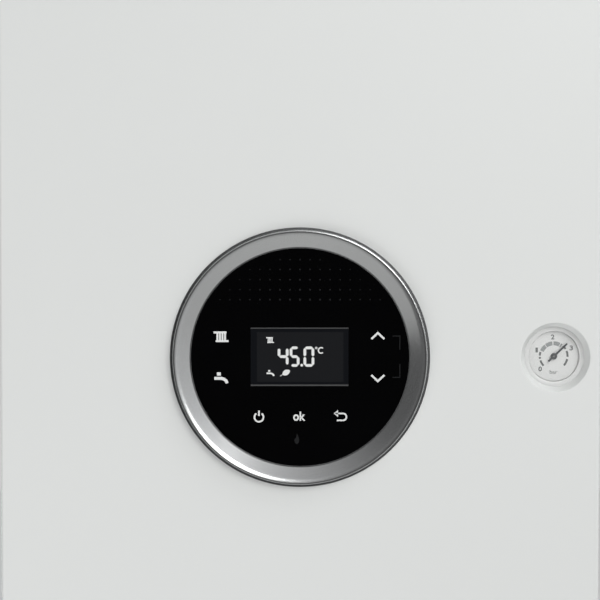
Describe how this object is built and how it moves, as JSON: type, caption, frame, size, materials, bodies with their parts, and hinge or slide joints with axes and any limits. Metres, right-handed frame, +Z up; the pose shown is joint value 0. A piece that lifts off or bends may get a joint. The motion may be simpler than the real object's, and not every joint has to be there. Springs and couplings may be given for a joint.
{
  "type": "combi boiler",
  "caption": "White wall-hung combi boiler with a round black glass display in a silver ring, a sunk pressure gauge, and the burner, fan, pump and exchangers inside.",
  "frame": {"origin": "middle of the wall bracket's flat back face, on the wall, 50 mm below the casing's top", "axes": "+X to the right seen from the front, -Y out of the wall towards the user, +Z up"},
  "size_m": [0.4, 0.326, 0.843],
  "materials": {
    "white_paint": "satin white powder coat on sheet steel",
    "galvanised_steel": "galvanised sheet with fine spangle",
    "foam_seal": "closed-cell black foam",
    "steel_fastener": "zinc-plated, turned",
    "satin_ring": "satin silver, spun",
    "black_glass": "back-printed black glass, polished",
    "lcd": "grey liquid-crystal cell in its frame",
    "circuit_board": "green solder mask with parts",
    "black_plastic": "fine moulded grain",
    "white_plastic": "moulded, smooth",
    "dial_print": "printed scale on white",
    "needle_paint": "matt dark grey",
    "clear_lens": "clear moulded plastic",
    "copper": "drawn copper with brazed ends",
    "cast_aluminium": "shot-blasted casting",
    "stainless_steel": "brushed stainless",
    "ceramic_fibre": "pressed fibre and glazed ceramic",
    "grey_plastic": "moulded, matt",
    "red_enamel": "gloss red enamel on pressed steel",
    "brass": "forged and turned",
    "red_plastic": "moulded, matt",
    "blue_plastic": "moulded, matt"
  },
  "bodies": {
    "root": {"side_panel_left": "white_paint", "side_panel_right": "white_paint", "top_plate": "white_paint", "wall_bracket": "galvanised_steel", "rear_frame": "galvanised_steel", "bottom_plate": "galvanised_steel", "cable_gland": "black_plastic", "fan_motor": "black_plastic", "pump_motor": "black_plastic", "diverter_motor": "black_plastic", "flow_sensor": "black_plastic", "flue_adapter": "white_plastic", "gauge_capillary": "copper", "gas_pipe": "copper", "hot_water_pipe": "copper", "cold_water_pipe": "copper", "flow_pipe": "copper", "return_pipe": "copper", "vessel_pipe": "copper", "heat_exchanger": "cast_aluminium", "burner_door": "cast_aluminium", "fan_housing": "cast_aluminium", "gas_valve": "cast_aluminium", "pump_body": "cast_aluminium", "exchanger_coil": "stainless_steel", "burner": "stainless_steel", "flue_pipe": "stainless_steel", "plate_exchanger": "stainless_steel", "burner_insulation": "ceramic_fibre", "ignition_electrode": "ceramic_fibre", "gas_air_mixer": "grey_plastic", "condensate_trap": "grey_plastic", "condensate_hose": "grey_plastic", "expansion_vessel": "red_enamel", "return_manifold": "brass", "flow_manifold": "brass", "safety_valve": "brass", "air_vent": "brass"},
    "cover": {"front_cover": "white_paint", "cover_seal": "foam_seal", "cover_screw_left": "steel_fastener", "cover_screw_right": "steel_fastener", "display_ring": "satin_ring"},
    "control_box": {"control_box": "black_plastic", "control_box_lid": "black_plastic", "main_board": "circuit_board", "display_housing": "black_plastic", "display_board": "circuit_board", "lcd_module": "lcd", "display_glass": "black_glass", "gauge_body": "white_plastic", "gauge_dial": "dial_print", "gauge_lens": "clear_lens"},
    "gauge_needle": {"gauge_needle": "needle_paint"},
    "fan_wheel": {"fan_wheel": "grey_plastic"},
    "pump_rotor": {"pump_rotor": "stainless_steel"},
    "diverter_stem": {"diverter_stem": "stainless_steel"},
    "safety_knob": {"safety_knob": "red_plastic"},
    "filling_knob": {"filling_knob": "blue_plastic"}
  },
  "joints": [
    {"name": "cover_lift_off", "type": "slide", "parent": "root", "child": "cover", "axis": [0, -1, 0], "range_m": [0, 0.45]},
    {"name": "control_box_swing", "type": "hinge", "parent": "root", "child": "control_box", "pos_m": [0, -0.248, -0.633], "axis": [1, 0, 0], "range_deg": [0, 75]},
    {"name": "gauge_needle_turn", "type": "hinge", "parent": "control_box", "child": "gauge_needle", "pos_m": [0.1703, -0.32, -0.515], "axis": [0, 1, 0], "range_deg": [-181, 89]},
    {"name": "fan_spin", "type": "hinge", "parent": "root", "child": "fan_wheel", "pos_m": [0.122, -0.26, -0.165], "axis": [0, 1, 0], "continuous": true},
    {"name": "pump_spin", "type": "hinge", "parent": "root", "child": "pump_rotor", "pos_m": [0.13, -0.115, -0.537], "axis": [0, 1, 0], "continuous": true},
    {"name": "diverter_lift", "type": "slide", "parent": "root", "child": "diverter_stem", "axis": [0, 0, 1], "range_m": [0, 0.008]},
    {"name": "safety_knob_turn", "type": "hinge", "parent": "root", "child": "safety_knob", "pos_m": [0.092, -0.15, -0.627], "axis": [0, -1, 0], "range_deg": [0, 90]},
    {"name": "filling_knob_turn", "type": "hinge", "parent": "root", "child": "filling_knob", "pos_m": [0.158, -0.15, -0.665], "axis": [0, 0, 1], "range_deg": [0, 90]}
  ],
  "couplings": [
    {"joint": "control_box_swing", "follows": "cover_lift_off", "rad_per_m": 2.9089}
  ]
}
